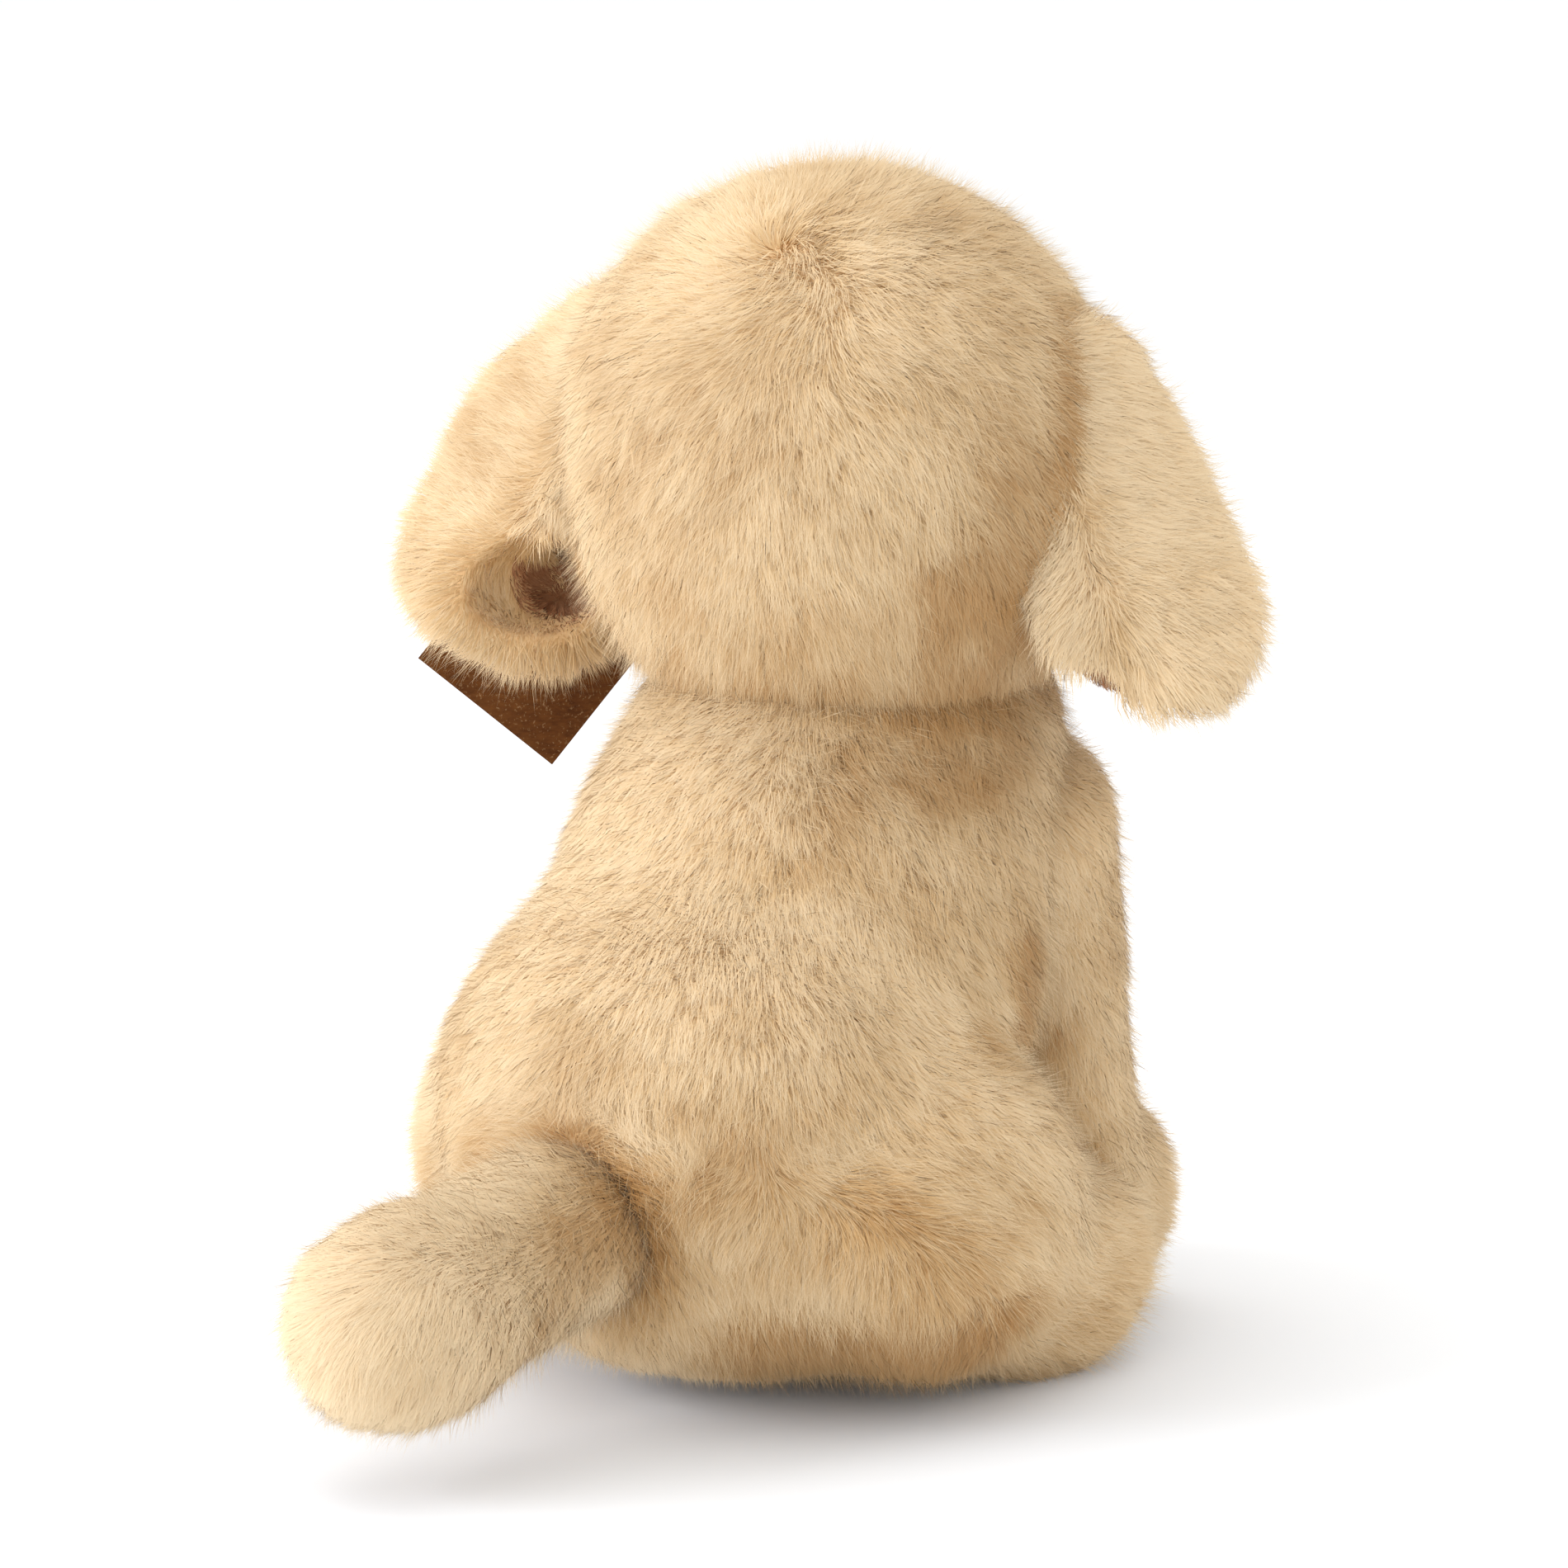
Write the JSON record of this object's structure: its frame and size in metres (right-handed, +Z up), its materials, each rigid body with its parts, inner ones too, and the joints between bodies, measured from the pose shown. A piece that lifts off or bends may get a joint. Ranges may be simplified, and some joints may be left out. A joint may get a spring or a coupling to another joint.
{
  "type": "plush dog",
  "caption": "Sitting stuffed puppy with cream faux fur, floppy ears, short stuffed tail and a brown card hang tag; head, ears, forelegs, tail and tag move.",
  "frame": {"origin": "centre of the toy's footprint box, on the surface that it sits on", "axes": "+Z up, the toy faces -Y, its left side is +X"},
  "size_m": [0.1842, 0.2464, 0.25],
  "materials": {
    "fur": "cream faux fur, fine pile about 10 mm long",
    "short_plush": "tan short pile plush",
    "fibre_fill": "polyester fibre filling",
    "pouch_cloth": "plain woven cloth",
    "pellets": "small rounded pellets",
    "dark_plastic": "glossy dark brown",
    "washer_plastic": "plain moulded",
    "thread": "twisted thread",
    "tag_card": "uncoated brown kraft card",
    "tie_plastic": "clear moulded loop"
  },
  "bodies": {
    "torso": {"belly_panel": "fur", "body_side_left": "fur", "body_side_right": "fur", "base_panel": "short_plush", "torso_stuffing": "fibre_fill", "pellet_pouch": "pouch_cloth", "weight_pellets": "pellets", "haunch_cover_left": "fur", "haunch_cover_right": "fur", "haunch_stuffing_left": "fibre_fill", "haunch_stuffing_right": "fibre_fill", "hind_foot_cover_left": "fur", "hind_foot_cover_right": "fur", "hind_sole_left": "short_plush", "hind_sole_right": "short_plush"},
    "neck": {"neck_core": "fibre_fill"},
    "head": {"crown_gusset": "fur", "chin_gusset": "fur", "head_side_left": "fur", "head_side_right": "fur", "head_stuffing": "fibre_fill", "muzzle_panel": "fur", "chin_panel": "fur", "muzzle_stuffing": "fibre_fill", "eye_left": "dark_plastic", "eye_right": "dark_plastic", "eye_washers": "washer_plastic", "nose": "dark_plastic", "nose_washer": "washer_plastic", "mouth_stitch": "thread", "tag_thread_loop": "thread"},
    "ear_left": {"ear_outer_left": "fur", "ear_lining_left": "short_plush"},
    "ear_right": {"ear_outer_right": "fur", "ear_lining_right": "short_plush"},
    "foreleg_left": {"foreleg_cover_left": "fur", "paw_pad_left": "short_plush", "foreleg_stuffing_left": "fibre_fill"},
    "foreleg_right": {"foreleg_cover_right": "fur", "paw_pad_right": "short_plush", "foreleg_stuffing_right": "fibre_fill"},
    "tail": {"tail_half_left": "fur", "tail_half_right": "fur", "tail_stuffing": "fibre_fill"},
    "tag": {"hang_tag": "tag_card", "tag_tie": "tie_plastic"}
  },
  "joints": [
    {"name": "head_turn", "type": "hinge", "parent": "torso", "child": "neck", "pos_m": [-0.00834, -0.04576, 0.182], "axis": [0, 0, 1], "range_deg": [-40, 10], "stiffness_Nm_per_rad": 0.8},
    {"name": "head_nod", "type": "hinge", "parent": "neck", "child": "head", "pos_m": [-0.00834, -0.04576, 0.182], "axis": [0.9397, 0.342, 0], "range_deg": [-12, 8], "stiffness_Nm_per_rad": 1.6},
    {"name": "ear_left_lift", "type": "hinge", "parent": "head", "child": "ear_left", "pos_m": [0.03916, -0.02422, 0.222], "axis": [0.342, -0.9397, 0], "range_deg": [0, 75]},
    {"name": "ear_right_lift", "type": "hinge", "parent": "head", "child": "ear_right", "pos_m": [-0.05669, -0.0591, 0.222], "axis": [-0.342, 0.9397, 0], "range_deg": [0, 75]},
    {"name": "foreleg_left_swing", "type": "hinge", "parent": "torso", "child": "foreleg_left", "pos_m": [0.01666, -0.06776, 0.11], "axis": [-1, 0, 0], "range_deg": [0, 30], "stiffness_Nm_per_rad": 0.4},
    {"name": "foreleg_right_swing", "type": "hinge", "parent": "torso", "child": "foreleg_right", "pos_m": [-0.03334, -0.06776, 0.11], "axis": [-1, 0, 0], "range_deg": [0, 30], "stiffness_Nm_per_rad": 0.4},
    {"name": "tail_wag", "type": "hinge", "parent": "torso", "child": "tail", "pos_m": [-0.00834, 0.05224, 0.04], "axis": [0, 0, 1], "range_deg": [-30, 30], "stiffness_Nm_per_rad": 0.15},
    {"name": "tag_swing", "type": "hinge", "parent": "head", "child": "tag", "pos_m": [0.04676, -0.05019, 0.17508], "axis": [-0.5789, 0.7967, 0.1736], "range_deg": [-10, 20]}
  ]
}
